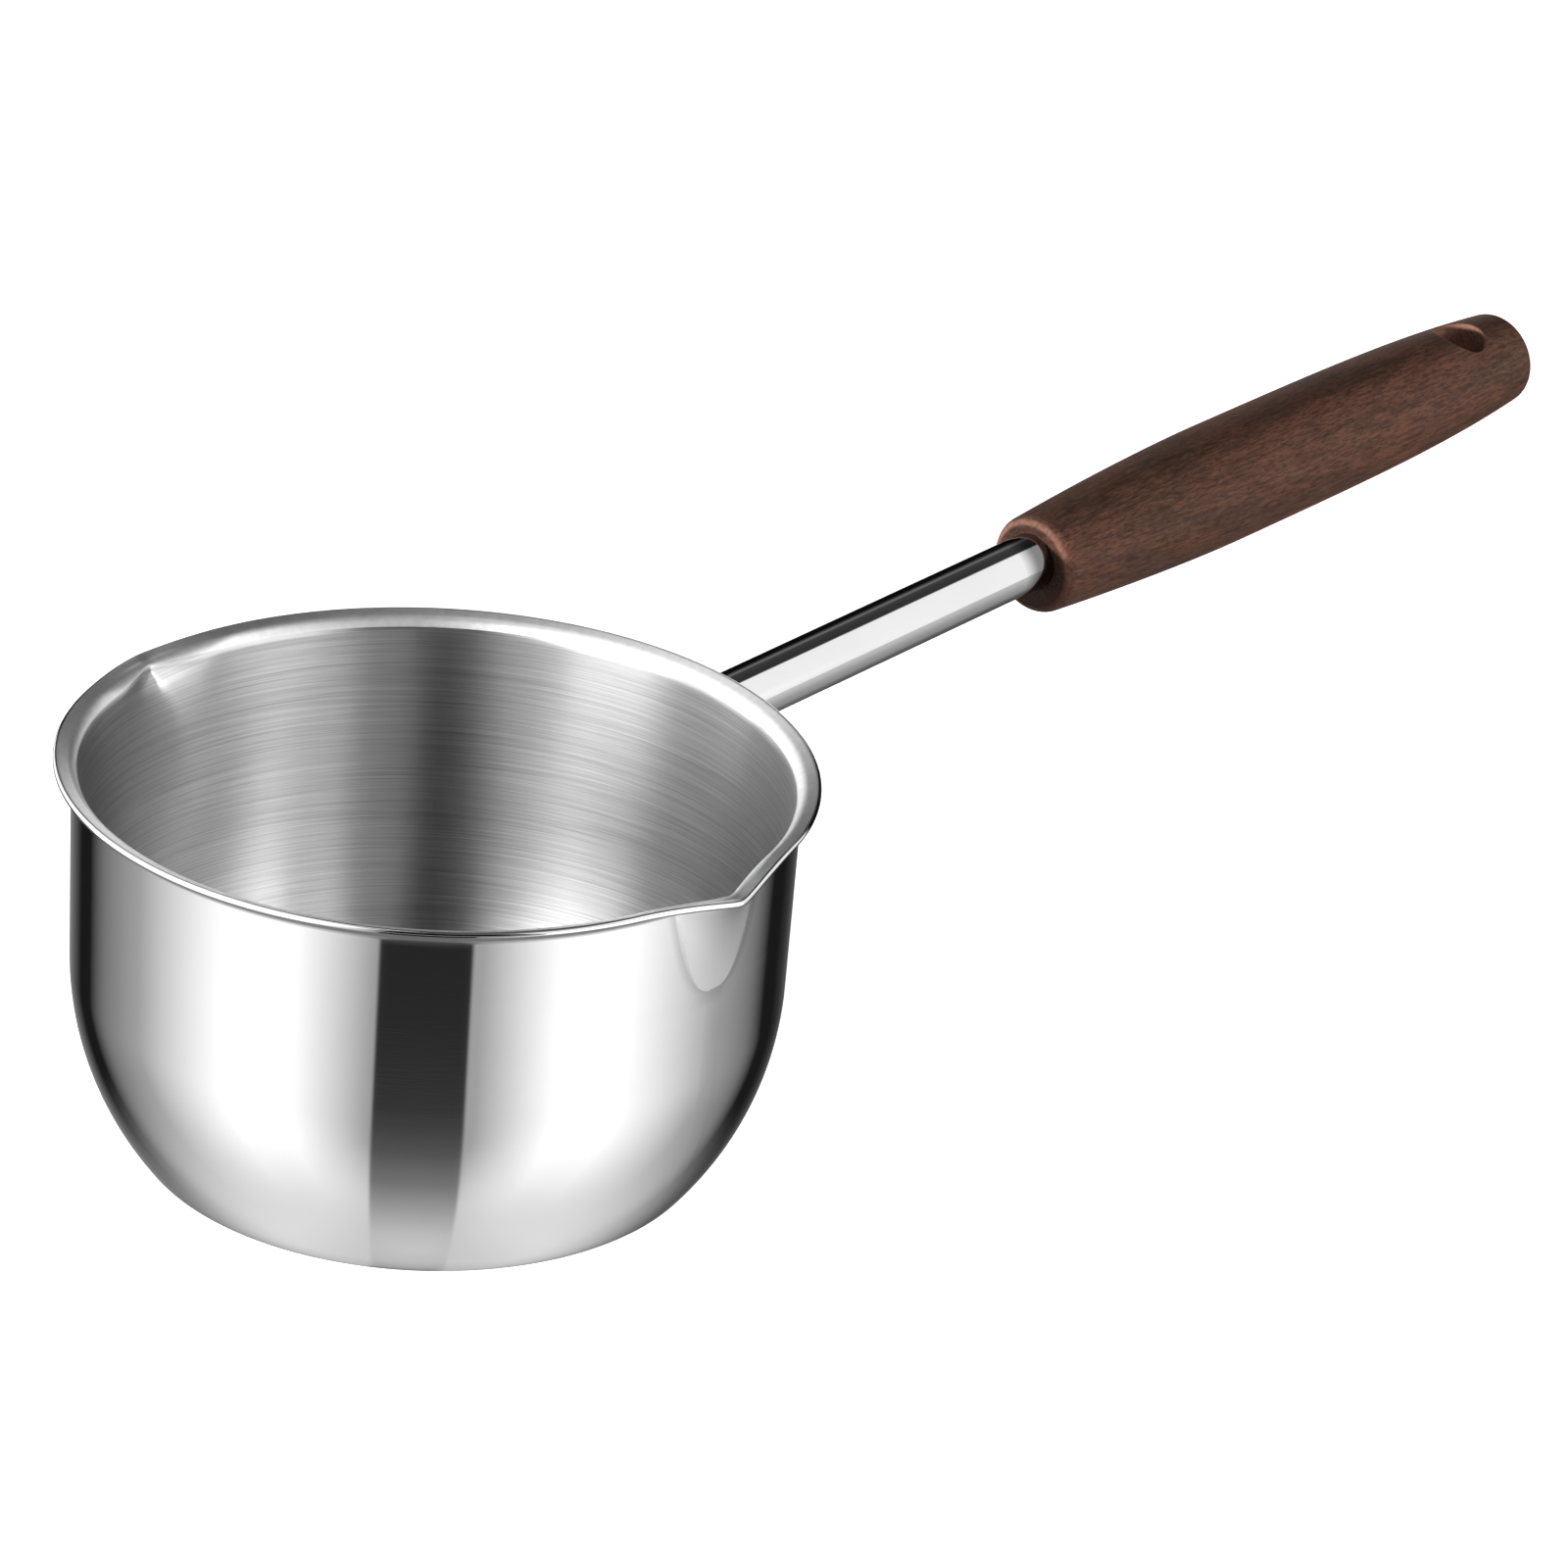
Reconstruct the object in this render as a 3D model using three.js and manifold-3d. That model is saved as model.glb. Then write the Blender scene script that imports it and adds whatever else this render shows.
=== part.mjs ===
// Small hot oil pan: a drawn steel bowl with two pouring spouts, a welded tube and a turned wooden grip.
// Millimetres, +Z up. The origin is the centre of the flat base, and the handle runs along +X.
import * as THREE from 'three';
import { mergeVertices } from 'three/addons/utils/BufferGeometryUtils.js';
import Module from 'manifold-3d';

const degrees = Math.PI / 180;

// Drawn bowl
const bowlHeight = 60.5;
const wallRadius = 52;
const wallTaper = 0.5;
const sheet = 1;
const heelTop = 29.2;
const baseInset = 12.85;
const baseCornerRadius = 3;

// Rolled rim
const rimOverhang = 2.75;
const rimBendRadius = 1.6;
const rimSlope = 12 * degrees;

// Pouring spouts, pressed out of the rim and the wall
const spoutBearings = [90 * degrees, -90 * degrees];
const spoutReach = 2.85;
const spoutDip = 1.3;
const spoutSpread = 18 * degrees;
const spoutTipRounding = 0.12;
const channelLength = 14.3;
const channelDepth = 2.4;
const channelSpread = 10.5 * degrees;
const channelFlare = 0.6;

// Handle tube and its weld
const tubeRadius = 4.5;
const tubeWall = 0.8;
const tubeRise = 1.6 * degrees;
const tubeEntry = 34;
const weldLeg = 2;
const weldEdge = 0.5;
const weldBelowRim = 1.15;

// Wooden grip
const gripStart = 85.25;
const gripLength = 126.3;
const gripDrop = 1;
const gripDroop = 0.75 * degrees;
const gripFrontWall = 3;
const gripBellyRadius = 9.9;
const gripBellyAt = 48;
const gripTailRadius = 7.7;
const gripFrontPower = 1.65;
const gripTailPower = 3.75;
const gripLip = 1.2;
const gripTailRounding = 1;
const hangHoleRadius = 4.5;
const hangHoleFromTail = 13.4;
const hangHoleRoll = 9 * degrees;

// Hidden fixing between the tube and the grip
const plugLength = 12;
const plugWall = 1.1;
const studInPlug = 10;
const studInWood = 24;
const studPoint = 5;

// Clearances between neighbouring pieces
const weldGap = 0.3;
const fitGap = 0.3;
const endGap = 0.5;

// Fineness of the round surfaces
const bowlSides = 96;
const tubeSides = 32;
const gripSides = 40;
const cornerSteps = 3;
const heelSteps = 7;
const wallSteps = 5;
const rimSteps = 4;
const filletSteps = 4;
const barrelSteps = 18;
const mergeDistance = 1e-4;

const wasm = await Module();
wasm.setup();

// Joins shared vertices and drops the flat triangles that a lathe leaves on its axis.
function closeMesh(geometry) {
  const bare = geometry.clone();
  bare.deleteAttribute('normal');
  bare.deleteAttribute('uv');
  const merged = mergeVertices(bare, mergeDistance);
  const corners = merged.index.array;
  const kept = [];
  for (let i = 0; i < corners.length; i += 3) {
    const [a, b, c] = corners.slice(i, i + 3);
    if (a !== b && b !== c && c !== a) kept.push(a, b, c);
  }
  merged.setIndex(kept);
  merged.computeVertexNormals();
  return merged;
}

function toSolid(geometry) {
  const closed = closeMesh(geometry);
  const vertProperties = new Float32Array(closed.attributes.position.array);
  const triVerts = new Uint32Array(closed.index.array);
  return new wasm.Manifold(new wasm.Mesh({ numProp: 3, vertProperties, triVerts }));
}

function toGeometry(solid) {
  const { vertProperties, triVerts } = solid.getMesh();
  const geometry = new THREE.BufferGeometry();
  geometry.setAttribute('position', new THREE.BufferAttribute(vertProperties, 3));
  geometry.setIndex(new THREE.BufferAttribute(triVerts, 1));
  geometry.computeVertexNormals();
  return geometry;
}

// Points on an arc of a profile, from one angle to another, both ends included.
function arc(centre, radius, from, to, steps) {
  const points = [];
  for (let i = 0; i <= steps; i++) {
    const angle = from + (to - from) * (i / steps);
    points.push(new THREE.Vector2(
      centre.x + radius * Math.cos(angle),
      centre.y + radius * Math.sin(angle)));
  }
  return points;
}

// Turns a profile of (radius, station) points about +X.
function turnAboutX(profile, sides) {
  return new THREE.LatheGeometry(profile, sides).rotateZ(-Math.PI / 2);
}

function rodAlongX(radius, from, to, sides) {
  return turnAboutX([
    new THREE.Vector2(0, from),
    new THREE.Vector2(radius, from),
    new THREE.Vector2(radius, to),
    new THREE.Vector2(0, to),
  ], sides);
}

function piece(name, geometry, look) {
  const mesh = new THREE.Mesh(geometry, new THREE.MeshStandardMaterial(look));
  mesh.name = name;
  return mesh;
}

// Bowl section: the outside and the inside of the sheet are the same arcs about the same centres.
const rimRun = rimOverhang - rimBendRadius * (1 - Math.sin(rimSlope));
const rimRise = (rimBendRadius + sheet) * Math.cos(rimSlope) + rimRun * Math.tan(rimSlope);
const wallTop = bowlHeight - rimRise;
const wallLean = Math.atan(wallTaper / (wallTop - heelTop));
const rimCentre = new THREE.Vector2(wallRadius + rimBendRadius, wallTop);
const baseRadius = wallRadius - baseInset;
const cornerCentre = new THREE.Vector2(baseRadius, baseCornerRadius);

// The heel arc leaves the wall at heelTop and runs smoothly into the base corner.
const heelStart = new THREE.Vector2(wallRadius - wallTaper, heelTop);
const cornerToWall = cornerCentre.clone().sub(heelStart);
const wallNormal = new THREE.Vector2(Math.cos(wallLean), -Math.sin(wallLean));
const heelRadius = (cornerToWall.lengthSq() - baseCornerRadius ** 2)
  / (-2 * (cornerToWall.dot(wallNormal) + baseCornerRadius));
const heelCentre = heelStart.clone().addScaledVector(wallNormal, -heelRadius);
const heelFoot = cornerCentre.clone().sub(heelCentre).angle() - 2 * Math.PI;

// Each station of the section carries how far it lies up the spout channel and out over the rim.
function bowlFace(depth) {
  const stations = [];
  const add = (points, rise, lip) => {
    points.forEach((point, i) => {
      const along = points.length > 1 ? i / (points.length - 1) : 1;
      stations.push({ point, rise: rise(along), lip: lip(along) });
    });
  };
  const none = () => 0;
  const full = () => 1;
  const along = (part) => part;
  const heel = heelRadius - depth;
  const corner = baseCornerRadius - depth;
  const bend = rimBendRadius + depth;
  const wallAt = (drop) => new THREE.Vector2(
    wallRadius - depth - drop * Math.tan(wallLean),
    wallTop - drop);
  add([new THREE.Vector2(0, depth)], none, none);
  add(arc(cornerCentre, corner, -Math.PI / 2, heelFoot, cornerSteps), none, none);
  add(arc(heelCentre, heel, heelFoot, -wallLean, heelSteps).slice(1), none, none);
  const wall = [];
  for (let i = 0; i <= wallSteps; i++) {
    wall.push(wallAt(channelLength * (1 - i / wallSteps)));
  }
  add(wall, along, none);
  const turned = arc(rimCentre, bend, Math.PI, Math.PI / 2 + rimSlope, rimSteps);
  const bent = turned[turned.length - 1];
  const edge = new THREE.Vector2(bent.x + rimRun, bent.y + rimRun * Math.tan(rimSlope));
  add([...turned.slice(1), edge], full, along);
  return stations;
}

// How far out and down the metal is pressed at a bearing measured from the middle of a spout.
function spoutPress(offset, rise, lip) {
  const channelWidth = channelSpread * rise ** channelFlare;
  const halfWidth = channelWidth + (spoutSpread - channelSpread) * lip;
  const across = halfWidth > 0 ? Math.abs(offset) / halfWidth : 1;
  if (across >= 1) return { out: 0, down: 0 };
  const trough = 1 - across ** 2;
  const blunt = Math.min(Math.hypot(across, spoutTipRounding), 1);
  const beak = ((1 - blunt) / (1 - spoutTipRounding)) ** 2;
  const shape = trough + (beak - trough) * lip;
  const depth = channelDepth * rise + (spoutReach - channelDepth) * lip;
  return { out: depth * shape, down: spoutDip * lip * beak };
}

function bowlGeometry() {
  const stations = [...bowlFace(0), ...bowlFace(sheet).reverse()];
  const geometry = new THREE.LatheGeometry(stations.map((station) => station.point), bowlSides);
  geometry.rotateX(Math.PI / 2);
  const places = geometry.attributes.position;
  for (let i = 0; i < places.count; i++) {
    const { rise, lip } = stations[i % stations.length];
    const bearing = Math.atan2(places.getY(i), places.getX(i));
    const radius = Math.hypot(places.getX(i), places.getY(i));
    for (const spout of spoutBearings) {
      const offset = Math.atan2(Math.sin(bearing - spout), Math.cos(bearing - spout));
      const { out, down } = spoutPress(offset, rise, lip);
      if (out === 0) continue;
      places.setX(i, (radius + out) * Math.cos(bearing));
      places.setY(i, (radius + out) * Math.sin(bearing));
      places.setZ(i, places.getZ(i) - down);
    }
  }
  return closeMesh(geometry);
}

// Handle frame: the tube's axis is +X, and x is 0 where the axis meets the outside of the wall.
const weldRadius = tubeRadius + weldGap + weldLeg;
const tubeHeight = wallTop - weldBelowRim - weldRadius;
const handle = new THREE.Group();
handle.position.set(wallRadius, 0, tubeHeight);
handle.rotation.y = -tubeRise;
handle.updateMatrix();

// Grip frame: the grip's own axis is +X, and x is 0 on its front face.
const grip = new THREE.Group();
grip.position.set(gripStart, 0, -gripDrop);
grip.rotation.y = gripDroop;
grip.updateMatrix();

// What the outside of the wall takes away from the pieces that meet it.
function wallSpace() {
  const reach = wallRadius + weldGap;
  const space = new THREE.CylinderGeometry(reach, reach, bowlHeight * 2, bowlSides * 2);
  space.rotateX(Math.PI / 2);
  return toSolid(space.applyMatrix4(handle.matrix.clone().invert()));
}

const tubeEnd = gripStart + tubeEntry;

function tubeGeometry() {
  const bore = tubeRadius - tubeWall;
  const profile = [
    new THREE.Vector2(bore, -tubeRadius),
    new THREE.Vector2(tubeRadius, -tubeRadius),
    new THREE.Vector2(tubeRadius, tubeEnd),
    new THREE.Vector2(bore, tubeEnd),
    new THREE.Vector2(bore, -tubeRadius),
  ];
  return toGeometry(toSolid(turnAboutX(profile, tubeSides)).subtract(wallSpace()));
}

function weldGeometry() {
  const inner = tubeRadius + weldGap;
  const hollow = new THREE.Vector2(weldRadius, weldGap + weldLeg);
  const profile = [
    new THREE.Vector2(inner, -tubeRadius),
    new THREE.Vector2(weldRadius, -tubeRadius),
    ...arc(hollow, weldLeg - weldEdge, -Math.PI / 2, -Math.PI, filletSteps),
    new THREE.Vector2(inner, weldGap + weldLeg),
    new THREE.Vector2(inner, -tubeRadius),
  ];
  return toGeometry(toSolid(turnAboutX(profile, tubeSides)).subtract(wallSpace()));
}

const plugRadius = tubeRadius - tubeWall - fitGap;
const studRadius = plugRadius - plugWall - fitGap;

function plugGeometry() {
  const bore = studRadius + fitGap;
  const profile = [
    new THREE.Vector2(bore, tubeEnd - plugLength),
    new THREE.Vector2(plugRadius, tubeEnd - plugLength),
    new THREE.Vector2(plugRadius, tubeEnd),
    new THREE.Vector2(bore, tubeEnd),
    new THREE.Vector2(bore, tubeEnd - plugLength),
  ];
  return closeMesh(turnAboutX(profile, tubeSides));
}

function studGeometry() {
  const tip = tubeEnd + studInWood;
  return closeMesh(turnAboutX([
    new THREE.Vector2(0, tubeEnd - studInPlug),
    new THREE.Vector2(studRadius, tubeEnd - studInPlug),
    new THREE.Vector2(studRadius, tip - studPoint),
    new THREE.Vector2(0, tip),
  ], tubeSides));
}

const boreRadius = tubeRadius + fitGap;
const gripFrontRadius = boreRadius + gripFrontWall;

// Radius of the turned grip at a distance from its front face.
function gripRadius(station) {
  if (station < gripBellyAt) {
    const ahead = (gripBellyAt - station) / gripBellyAt;
    return gripBellyRadius - (gripBellyRadius - gripFrontRadius) * ahead ** gripFrontPower;
  }
  const behind = (station - gripBellyAt) / (gripLength - gripBellyAt);
  return gripBellyRadius - (gripBellyRadius - gripTailRadius) * behind ** gripTailPower;
}

function gripGeometry() {
  const profile = [new THREE.Vector2(0, 0)];
  const front = new THREE.Vector2(gripRadius(gripLip) - gripLip, gripLip);
  profile.push(...arc(front, gripLip, -Math.PI / 2, 0, filletSteps));
  const tailFrom = gripLength - gripTailRounding;
  for (let i = 1; i < barrelSteps; i++) {
    const station = gripLip + (tailFrom - gripLip) * (i / barrelSteps);
    profile.push(new THREE.Vector2(gripRadius(station), station));
  }
  const tail = new THREE.Vector2(gripRadius(tailFrom) - gripTailRounding, tailFrom);
  profile.push(...arc(tail, gripTailRounding, 0, Math.PI / 2, filletSteps));
  profile.push(new THREE.Vector2(0, gripLength));
  const hole = new THREE.CylinderGeometry(
    hangHoleRadius, hangHoleRadius, gripBellyRadius * 4, tubeSides);
  hole.rotateX(Math.PI / 2 + hangHoleRoll);
  hole.translate(gripLength - hangHoleFromTail, 0, 0);
  const outOfHandle = grip.matrix.clone().invert();
  const tubeBore = rodAlongX(boreRadius, gripStart - tubeEntry, tubeEnd + endGap, tubeSides);
  const studBore = rodAlongX(studRadius + fitGap, tubeEnd, tubeEnd + studInWood + endGap, tubeSides);
  return toGeometry(toSolid(turnAboutX(profile, gripSides))
    .subtract(toSolid(hole))
    .subtract(toSolid(tubeBore.applyMatrix4(outOfHandle)))
    .subtract(toSolid(studBore.applyMatrix4(outOfHandle))));
}

const pan = new THREE.Group();
pan.name = 'hot_oil_pan';
pan.add(
  piece('pan_bowl', bowlGeometry(), { color: 0xc9cacb, roughness: 0.12, metalness: 1 }),
  handle,
);
handle.add(
  piece('handle_weld', weldGeometry(), { color: 0xa9a8a6, roughness: 0.35, metalness: 1 }),
  piece('handle_tube', tubeGeometry(), { color: 0xcdcecf, roughness: 0.1, metalness: 1 }),
  piece('tube_plug', plugGeometry(), { color: 0x9a9b9d, roughness: 0.4, metalness: 1 }),
  piece('hanger_stud', studGeometry(), { color: 0xb4b09a, roughness: 0.35, metalness: 1 }),
  grip,
);
grip.add(piece('wood_grip', gripGeometry(), { color: 0x5c4338, roughness: 0.55, metalness: 0 }));

export default pan;
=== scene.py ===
import math

import bmesh
import bpy
from mathutils import Matrix, Vector


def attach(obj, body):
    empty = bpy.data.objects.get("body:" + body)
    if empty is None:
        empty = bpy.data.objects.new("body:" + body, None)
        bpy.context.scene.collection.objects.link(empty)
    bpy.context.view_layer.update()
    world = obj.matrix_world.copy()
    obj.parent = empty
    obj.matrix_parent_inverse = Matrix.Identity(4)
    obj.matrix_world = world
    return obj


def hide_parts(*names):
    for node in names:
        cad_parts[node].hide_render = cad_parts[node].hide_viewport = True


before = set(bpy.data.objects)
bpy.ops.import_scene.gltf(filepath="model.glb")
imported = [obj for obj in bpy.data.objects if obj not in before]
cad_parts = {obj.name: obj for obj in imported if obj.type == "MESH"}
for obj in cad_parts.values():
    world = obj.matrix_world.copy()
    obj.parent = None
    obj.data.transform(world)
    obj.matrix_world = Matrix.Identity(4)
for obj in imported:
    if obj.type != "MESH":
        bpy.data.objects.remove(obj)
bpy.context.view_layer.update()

# The pan bowl is one disc of stainless sheet, deep drawn to a flat base, a round heel and a nearly straight
# wall. Its rim is rolled outwards and trimmed, and a die presses a spout into it on each side of the handle.
# The outside is buffed to a mirror, the rim rubbed to a satin shine and the inside brushed round the axis.
mm = 0.001
bowl_height = 60.5 * mm
wall_radius = 52 * mm
wall_taper = 0.5 * mm
sheet = 1 * mm
heel_top = 29.2 * mm
base_radius = wall_radius - 12.85 * mm
base_corner = 3 * mm
rim_overhang = 2.75 * mm
rim_bend = 1.6 * mm
rim_slope = math.radians(18)
rim_edge_round = 0.47 * mm
spout_bearings = (math.radians(93), math.radians(-87))
spout_set_back = math.radians(1.4)
spout_skew = math.radians(1.2)
spout_reach = 2.25 * mm
spout_dip = 1.3 * mm
spout_spread = math.radians(18)
spout_clear = math.radians(25)
spout_tip_rounding = 0.06
lip_at_bend = 0.75
lip_at_edge = 0.95
channel_length = 14.3 * mm
channel_depth = 1.2 * mm
channel_spread = math.radians(10.5)
channel_narrowest = math.radians(1.6)
channel_flare = 0.38
channel_curl = 2.6
channel_mouth = 1.15 * mm
channel_mouth_curl = 10
channel_fold = 0.9
channel_fold_curl = 4
channel_inside_spread = 1.2
corner_line = 0.6 * mm

base_shares = (0, 0.03, 0.2, 0.4, 0.6, 0.8, 0.93)
corner_rows = 6
heel_rows = 26
wall_rows = 6
channel_rows = 24
channel_row_power = 1.3
bend_rows = 12
flange_rows = 4
edge_rows = 5
satin_rows = 13
pressed_columns = 24
clear_columns = 12
plain_columns = 40

rim_run = rim_overhang - rim_bend * (1 - math.sin(rim_slope))
rim_rise = (rim_bend + sheet) * math.cos(rim_slope) + rim_run * math.tan(rim_slope)
wall_top = bowl_height - rim_rise
wall_lean = math.atan(wall_taper / (wall_top - heel_top))
rim_centre = Vector((wall_radius + rim_bend, wall_top))
flange_along = Vector((math.cos(rim_slope), math.sin(rim_slope)))
flange_across = Vector((-math.sin(rim_slope), math.cos(rim_slope)))
flange_flat = rim_run / math.cos(rim_slope) - rim_edge_round
corner_centre = Vector((base_radius, base_corner))
heel_start = Vector((wall_radius - wall_taper, heel_top))
wall_normal = Vector((math.cos(wall_lean), -math.sin(wall_lean)))
corner_to_wall = corner_centre - heel_start
heel_radius = (corner_to_wall.length_squared - base_corner ** 2) / (
    -2 * (corner_to_wall.dot(wall_normal) + base_corner))
heel_centre = heel_start - heel_radius * wall_normal
heel_foot = math.atan2(corner_centre.y - heel_centre.y, corner_centre.x - heel_centre.x)


def arc(centre, radius, start, end, steps):
    """Points of a profile on an arc, both ends included."""
    angles = [start + (end - start) * i / steps for i in range(steps + 1)]
    return [centre + radius * Vector((math.cos(angle), math.sin(angle))) for angle in angles]


def wall_radius_at(height):
    """Outside radius of the straight wall at a height."""
    return wall_radius - (wall_top - height) * math.tan(wall_lean)


def sheet_face(depth):
    """One face of the drawn sheet, from the axis to the trimmed edge, at a depth below the outside.

    A station is a point, its rise up the channel of a spout, and its lip, the share of the way over the rim.
    """
    plain = [Vector((base_radius * share, depth)) for share in base_shares]
    plain += arc(corner_centre, base_corner - depth, -math.pi / 2, heel_foot, corner_rows)
    plain += arc(heel_centre, heel_radius - depth, heel_foot, -wall_lean, heel_rows)[1:]
    channel_foot = wall_top - channel_length
    for i in range(1, wall_rows):
        height = heel_top + (channel_foot - heel_top) * i / wall_rows
        plain.append(Vector((wall_radius_at(height) - depth, height)))
    stations = [(point, 0, 0) for point in plain]
    for i in range(channel_rows + 1):
        rise = (i / channel_rows) ** channel_row_power
        height = wall_top - channel_length * (1 - rise)
        stations.append((Vector((wall_radius_at(height) - depth, height)), rise, 0))
    bend = arc(rim_centre, rim_bend + depth, math.pi, math.pi / 2 + rim_slope, bend_rows)
    for i in range(1, bend_rows + 1):
        stations.append((bend[i], 1, max(0, i / bend_rows - 1 + lip_at_bend)))
    for i in range(1, flange_rows + 1):
        share = i / flange_rows
        lip = lip_at_bend + (lip_at_edge - lip_at_bend) * share
        stations.append((bend[-1] + flange_along * flange_flat * share, 1, lip))
    return stations


def trimmed_edge():
    """Stations of the cut edge of the rolled rim, with both of its corners dulled."""
    end = rim_centre + rim_bend * flange_across + flange_along * flange_flat
    lower = end + flange_across * rim_edge_round
    upper = end + flange_across * (sheet - rim_edge_round)
    stations = []
    for i in range(1, edge_rows + 1):
        turn = math.pi / 2 * i / edge_rows
        swing = flange_along * math.sin(turn) - flange_across * math.cos(turn)
        lip = lip_at_edge + (1 - lip_at_edge) * math.sin(turn)
        stations.append((lower + rim_edge_round * swing, 1, lip))
    for i in range(edge_rows):
        turn = math.pi / 2 * i / edge_rows
        swing = flange_along * math.cos(turn) + flange_across * math.sin(turn)
        lip = lip_at_edge + (1 - lip_at_edge) * math.cos(turn)
        stations.append((upper + rim_edge_round * swing, 1, lip))
    return stations


def pressed_width(rise, lip):
    """Half the width of a spout's pressed shape, as an angle about the axis of the bowl."""
    return channel_spread * rise ** channel_flare + (spout_spread - channel_spread) * lip


def spout_press(offset, rise, lip, depth):
    """How far out and down the die pushes a face of the sheet at a bearing from the middle of a spout."""
    inner = depth / sheet * (1 - lip)
    half_width = pressed_width(rise, lip) * (1 + (channel_inside_spread - 1) * inner)
    across = abs(offset) / half_width if half_width > 0 else 1
    if across >= 1:
        return 0, 0
    trough = (1 - across ** 2) ** 2
    blunt = min(math.hypot(across, spout_tip_rounding), 1)
    beak = ((1 - blunt) / (1 - spout_tip_rounding)) ** 2
    fold = max(lip, channel_fold * inner * rise ** channel_fold_curl)
    shape = trough + (beak - trough) * fold
    reach = channel_depth * rise ** channel_curl + (spout_reach - channel_depth) * lip
    reach += channel_mouth * rise ** channel_mouth_curl * (1 - lip)
    return reach * shape, spout_dip * min(1, lip / lip_at_bend) * beak


def spout_bearing_offsets(rise, lip):
    """Offsets of the mesh columns about one spout: dense in the pressed shape, and one on its crease."""
    width = max(pressed_width(rise, lip), channel_narrowest)
    plain = math.pi / 2 - spout_clear
    half = [width * (1 - math.cos(math.pi * i / pressed_columns)) / 2 for i in range(1, pressed_columns + 1)]
    half += [width + (spout_clear - width) * i / clear_columns for i in range(1, clear_columns + 1)]
    half += [spout_clear + plain * i / plain_columns for i in range(1, plain_columns + 1)]
    return [-offset for offset in reversed(half[:-1])] + [0] + half


def skin(name, rings, finishes, finish_of_row=None):
    """A closed mesh over rings of points, each ring joined to the next. A ring of one point closes an end."""
    mesh = bmesh.new()
    rows = [[mesh.verts.new(point) for point in ring] for ring in rings]
    for row, (near, far) in enumerate(zip(rows, rows[1:])):
        count = max(len(near), len(far))
        for i in range(count):
            j = (i + 1) % count
            corners = [near[i % len(near)], near[j % len(near)], far[j % len(far)], far[i % len(far)]]
            face = mesh.faces.new(list(dict.fromkeys(corners)))
            face.smooth = True
            face.material_index = finish_of_row[row] if finish_of_row else 0
    bmesh.ops.recalc_face_normals(mesh, faces=mesh.faces)
    return as_piece(name, mesh, finishes)


def as_piece(name, mesh, finishes):
    """Turns a finished bmesh into an object of the scene with its materials."""
    data = bpy.data.meshes.new(name)
    mesh.to_mesh(data)
    mesh.free()
    for finish in finishes:
        data.materials.append(finish)
    piece = bpy.data.objects.new(name, data)
    bpy.context.scene.collection.objects.link(piece)
    return piece


def mark_points(piece, name, amounts):
    """Keeps a number with each point of a mesh, for the piece's finish to read."""
    piece.data.attributes.new(name, "FLOAT", "POINT").data.foreach_set("value", amounts)


def grey(value):
    return (value, value, value, 1)


class NodeSet:
    """The nodes of a finish or of the light tent, with short calls that add them and join them up."""

    def __init__(self, tree):
        self.nodes = tree.nodes
        self.links = tree.links

    def add(self, kind, settings=None, **values):
        node = self.nodes.new(kind)
        for attribute, value in (settings or {}).items():
            setattr(node, attribute, value)
        for socket, value in values.items():
            self.feed(node, socket.replace("_", " "), value)
        return node

    def feed(self, node, socket, value):
        if isinstance(value, bpy.types.NodeSocket):
            self.links.new(value, node.inputs[socket])
        else:
            node.inputs[socket].default_value = value

    def math(self, operation, first, second=0.0):
        node = self.add("ShaderNodeMath", {"operation": operation})
        self.feed(node, 0, first)
        self.feed(node, 1, second)
        return node.outputs[0]

    def scaled(self, value, factor, start=0.0):
        return self.math("ADD", self.math("MULTIPLY", value, factor), start)

    def blend(self, first, second, share):
        return self.math("ADD", self.math("MULTIPLY", first, share), self.math("MULTIPLY", second, 1 - share))

    def vector(self, operation, first, second=(0, 0, 0)):
        node = self.add("ShaderNodeVectorMath", {"operation": operation})
        self.feed(node, 0, first)
        self.feed(node, 1, second)
        return node.outputs["Value" if operation in ("LENGTH", "DOT_PRODUCT") else "Vector"]

    def split(self, vector):
        return self.add("ShaderNodeSeparateXYZ", Vector=vector).outputs

    def combine(self, x, y, z):
        return self.add("ShaderNodeCombineXYZ", X=x, Y=y, Z=z).outputs[0]

    def noise(self, vector, scale, detail, roughness=0.5):
        node = self.add("ShaderNodeTexNoise", Vector=vector, Scale=scale, Detail=detail, Roughness=roughness)
        return node.outputs["Fac"]

    def stretched_noise(self, vector, stretch, detail, roughness=0.5):
        return self.noise(self.vector("MULTIPLY", vector, stretch), 1.0, detail, roughness)

    def ramp(self, value, *stops, ease=False):
        node = self.add("ShaderNodeValToRGB", Fac=value)
        node.color_ramp.interpolation = "EASE" if ease else "LINEAR"
        elements = node.color_ramp.elements
        coloured = [(place, shade if isinstance(shade, tuple) else grey(shade)) for place, shade in stops]
        for element, (place, colour) in zip(elements, coloured[:2]):
            element.position, element.color = place, colour
        for place, colour in coloured[2:]:
            elements.new(place).color = colour
        return node.outputs["Color"]

    def mix(self, share, first, second, blend_type="MIX"):
        node = self.add("ShaderNodeMix", {"data_type": "RGBA", "blend_type": blend_type})
        for socket, value in ((0, share), (6, first), (7, second)):
            self.feed(node, socket, value)
        return node.outputs[2]


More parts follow.
